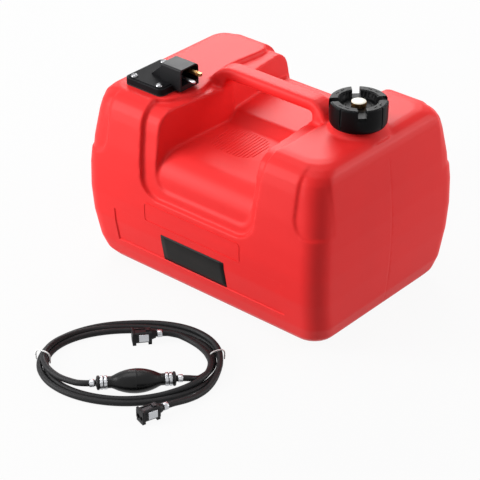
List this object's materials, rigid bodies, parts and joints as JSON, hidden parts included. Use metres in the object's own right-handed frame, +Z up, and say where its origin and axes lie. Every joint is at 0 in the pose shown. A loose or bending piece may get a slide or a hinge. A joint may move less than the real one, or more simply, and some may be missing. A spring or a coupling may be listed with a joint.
{
  "type": "outboard fuel tank",
  "caption": "Portable blow-moulded fuel tank for an outboard engine, with hollow carrying handle, vented filler cap, quick-connect outlet and a coiled hose with primer bulb.",
  "frame": {"origin": "middle of the tank's base, on the surface it stands on", "axes": "+X along the tank towards the filler cap, +Z up, -Y the side beside which the hose lies"},
  "size_m": [0.36, 0.4902, 0.266],
  "materials": {
    "tank_red": "satin, blow moulded",
    "cap_black": "satin",
    "fitting_black": "satin",
    "plug_grey": "satin",
    "pale_plastic": "plain",
    "black_rubber": "plain",
    "bulb_rubber": "satin",
    "hose_black": "satin",
    "brass": "machined",
    "steel": "plated",
    "tie_white": "coated wire"
  },
  "bodies": {
    "root": {"tank_shell": "tank_red", "outlet_gasket": "black_rubber", "outlet_housing": "fitting_black", "outlet_screws": "steel", "screw_inserts": "brass", "outlet_nipple": "brass", "guide_pin": "steel", "dip_tube": "pale_plastic", "dip_tube_clip": "steel", "strainer": "pale_plastic", "hose_coil": "hose_black", "hose_tank_side": "hose_black", "hose_engine_side": "hose_black", "primer_bulb": "bulb_rubber", "bulb_bands": "steel", "hose_clips": "steel", "wire_ties": "tie_white", "bulb_inlet_valve": "fitting_black", "bulb_inlet_check": "black_rubber", "bulb_outlet_valve": "fitting_black", "bulb_outlet_check": "black_rubber", "tank_plug": "plug_grey", "tank_plug_seal": "black_rubber", "engine_plug": "plug_grey", "engine_plug_seal": "black_rubber", "tank_plug_spring": "steel", "engine_plug_spring": "steel"},
    "cap_gasket": {"cap_gasket": "black_rubber"},
    "cap_liner": {"cap_liner": "pale_plastic"},
    "filler_cap": {"filler_cap": "cap_black"},
    "vent_ring": {"vent_ring": "black_rubber"},
    "vent_screw": {"vent_screw": "brass"},
    "tank_plug_latch": {"tank_plug_latch": "steel"},
    "tank_plug_poppet": {"tank_plug_poppet": "brass"},
    "engine_plug_latch": {"engine_plug_latch": "steel"},
    "engine_plug_poppet": {"engine_plug_poppet": "brass"}
  },
  "joints": [
    {"name": "cap_lift", "type": "slide", "parent": "root", "child": "cap_gasket", "axis": [0, 0, 1], "range_m": [0, 0.06]},
    {"name": "cap_rise", "type": "slide", "parent": "cap_gasket", "child": "cap_liner", "axis": [0, 0, 1], "range_m": [0, 0.0061]},
    {"name": "cap_turn", "type": "hinge", "parent": "cap_liner", "child": "filler_cap", "pos_m": [0.1285, 0, 0.25], "axis": [0, 0, 1], "range_deg": [0, 540]},
    {"name": "vent_rise", "type": "slide", "parent": "filler_cap", "child": "vent_ring", "axis": [0, 0, 1], "range_m": [0, 0.0017]},
    {"name": "vent_turn", "type": "hinge", "parent": "vent_ring", "child": "vent_screw", "pos_m": [0.1285, 0, 0.262], "axis": [0, 0, 1], "range_deg": [0, 720]},
    {"name": "tank_latch_press", "type": "hinge", "parent": "root", "child": "tank_plug_latch", "pos_m": [0.00111, -0.22393, 0.0144], "axis": [-0.7749, 0.632, 0], "range_deg": [0, 7], "stiffness_Nm_per_rad": 0.05, "springref_deg": -5.73},
    {"name": "tank_poppet_push", "type": "slide", "parent": "root", "child": "tank_plug_poppet", "axis": [0.632, 0.7749, 0], "range_m": [0, 0.0025], "stiffness_N_per_m": 100, "springref_m": -0.002, "deforming": ["tank_plug_spring"]},
    {"name": "engine_latch_press", "type": "hinge", "parent": "root", "child": "engine_plug_latch", "pos_m": [0.10824, -0.32672, 0.0144], "axis": [-0.9563, 0.2924, 0], "range_deg": [0, 7], "stiffness_Nm_per_rad": 0.05, "springref_deg": -5.73},
    {"name": "engine_poppet_push", "type": "slide", "parent": "root", "child": "engine_plug_poppet", "axis": [0.2924, 0.9563, 0], "range_m": [0, 0.0025], "stiffness_N_per_m": 100, "springref_m": -0.002, "deforming": ["engine_plug_spring"]}
  ],
  "couplings": [
    {"joint": "cap_rise", "follows": "cap_turn", "m_per_rad": 0.00063662},
    {"joint": "vent_rise", "follows": "vent_turn", "m_per_rad": 0.00012732}
  ]
}
